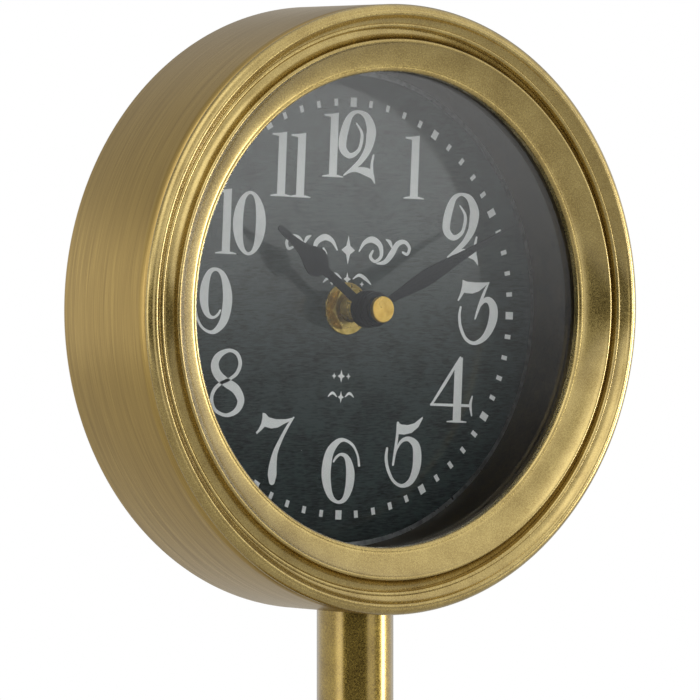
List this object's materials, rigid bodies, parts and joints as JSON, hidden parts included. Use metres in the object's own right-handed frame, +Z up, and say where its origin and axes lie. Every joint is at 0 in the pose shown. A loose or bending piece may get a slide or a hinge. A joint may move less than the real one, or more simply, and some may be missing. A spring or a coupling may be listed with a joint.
{
  "type": "table clock on a pole",
  "caption": "Round drum clock with a stepped bezel and a recessed dial, on a pole with a weighted round base. A battery movement turns the hands.",
  "frame": {"origin": "on the floor at the centre of the base, under the pole's axis", "axes": "+Z up along the pole, the dial looks along -Y, +X to the right of someone reading it"},
  "size_m": [0.15, 0.12, 0.35],
  "materials": {
    "brushed_gold": "steel drum, brushed round and lacquered gold",
    "satin_gold": "satin gold metallic paint",
    "clear_glass": "clear flat glass",
    "dark_wall": "dark grey paint, low gloss",
    "dial_paper": "slate printed card",
    "plain_steel": "zinc plated",
    "black_steel": "black, matt",
    "yellow_brass": "bright turned brass",
    "hand_metal": "blue-black, satin",
    "movement_black": "moulded, fine texture",
    "wheel_plastic": "natural acetal",
    "board_green": "solder mask",
    "chip_black": "epoxy blob",
    "copper_wire": "enamelled copper wire",
    "magnet_grey": "sintered",
    "black_rubber": "matt",
    "black_felt": "felt",
    "weight_iron": "as cast",
    "battery_wrap": "plain printed sleeve"
  },
  "bodies": {
    "case": {"case_shell": "brushed_gold", "bezel_ring": "satin_gold", "glass_lens": "clear_glass", "spacer_ring": "dark_wall", "dial_card": "dial_paper", "dial_plate": "plain_steel", "case_blocks": "plain_steel", "dial_screws": "plain_steel", "back_cover": "black_steel", "back_cover_screws": "plain_steel", "movement_front_case": "movement_black", "movement_rear_case": "movement_black", "train_plate": "wheel_plastic", "threaded_bush": "yellow_brass", "rubber_washer": "black_rubber", "dial_washer": "yellow_brass", "hex_nut": "yellow_brass", "stator_plate": "plain_steel", "coil_core": "plain_steel", "coil_bobbin": "wheel_plastic", "coil_winding": "copper_wire", "circuit_board": "board_green", "clock_chip": "chip_black", "quartz_crystal": "plain_steel", "contact_positive": "plain_steel", "contact_negative": "plain_steel", "pole_tube": "satin_gold", "pole_top_plug": "plain_steel", "head_screw_washer": "plain_steel", "head_screw": "plain_steel", "pole_bottom_plug": "plain_steel", "pole_collar": "satin_gold", "base_shell": "satin_gold", "base_weight": "weight_iron", "base_bolt_washer": "plain_steel", "base_bolt": "plain_steel", "felt_pad": "black_felt"},
    "minute_hand": {"minute_arbor": "yellow_brass", "minute_hand": "hand_metal", "minute_collet": "hand_metal"},
    "hour_hand": {"hour_wheel": "wheel_plastic", "hour_hand": "hand_metal", "hour_collet": "hand_metal"},
    "setting": {"minute_works_wheel": "wheel_plastic", "set_knob": "movement_black"},
    "rotor": {"rotor_pinion": "wheel_plastic", "rotor_magnet": "magnet_grey"},
    "intermediate": {"intermediate_wheel": "wheel_plastic"},
    "seconds": {"seconds_wheel": "wheel_plastic", "hand_cap": "yellow_brass"},
    "third": {"third_wheel": "wheel_plastic"},
    "centre": {"centre_wheel": "wheel_plastic"},
    "battery": {"battery": "battery_wrap"}
  },
  "joints": [
    {"name": "minute_turn", "type": "hinge", "parent": "case", "child": "minute_hand", "pos_m": [0, 0, 0.275], "axis": [0, 1, 0], "continuous": true},
    {"name": "hour_turn", "type": "hinge", "parent": "case", "child": "hour_hand", "pos_m": [0, 0, 0.275], "axis": [0, 1, 0], "continuous": true},
    {"name": "works_turn", "type": "hinge", "parent": "case", "child": "setting", "pos_m": [0.00855, 0, 0.27349], "axis": [0, 1, 0], "continuous": true},
    {"name": "rotor_turn", "type": "hinge", "parent": "case", "child": "rotor", "pos_m": [0.00432, 0, 0.28948], "axis": [0, 1, 0], "continuous": true},
    {"name": "intermediate_turn", "type": "hinge", "parent": "case", "child": "intermediate", "pos_m": [0.00432, 0, 0.28248], "axis": [0, 1, 0], "continuous": true},
    {"name": "seconds_turn", "type": "hinge", "parent": "case", "child": "seconds", "pos_m": [0, 0, 0.275], "axis": [0, 1, 0], "continuous": true},
    {"name": "third_turn", "type": "hinge", "parent": "case", "child": "third", "pos_m": [-0.00799, 0, 0.27791], "axis": [0, 1, 0], "continuous": true},
    {"name": "centre_turn", "type": "hinge", "parent": "case", "child": "centre", "pos_m": [0, 0, 0.275], "axis": [0, 1, 0], "continuous": true},
    {"name": "battery_slide", "type": "slide", "parent": "case", "child": "battery", "axis": [0, 1, 0], "range_m": [0, 0.018]}
  ],
  "couplings": [
    {"joint": "hour_turn", "follows": "minute_turn", "ratio": 0.083333},
    {"joint": "works_turn", "follows": "minute_turn", "ratio": -0.33333},
    {"joint": "intermediate_turn", "follows": "rotor_turn", "ratio": -0.16667},
    {"joint": "seconds_turn", "follows": "rotor_turn", "ratio": 0.033333},
    {"joint": "third_turn", "follows": "rotor_turn", "ratio": -0.0044444},
    {"joint": "centre_turn", "follows": "rotor_turn", "ratio": 0.00055556}
  ]
}
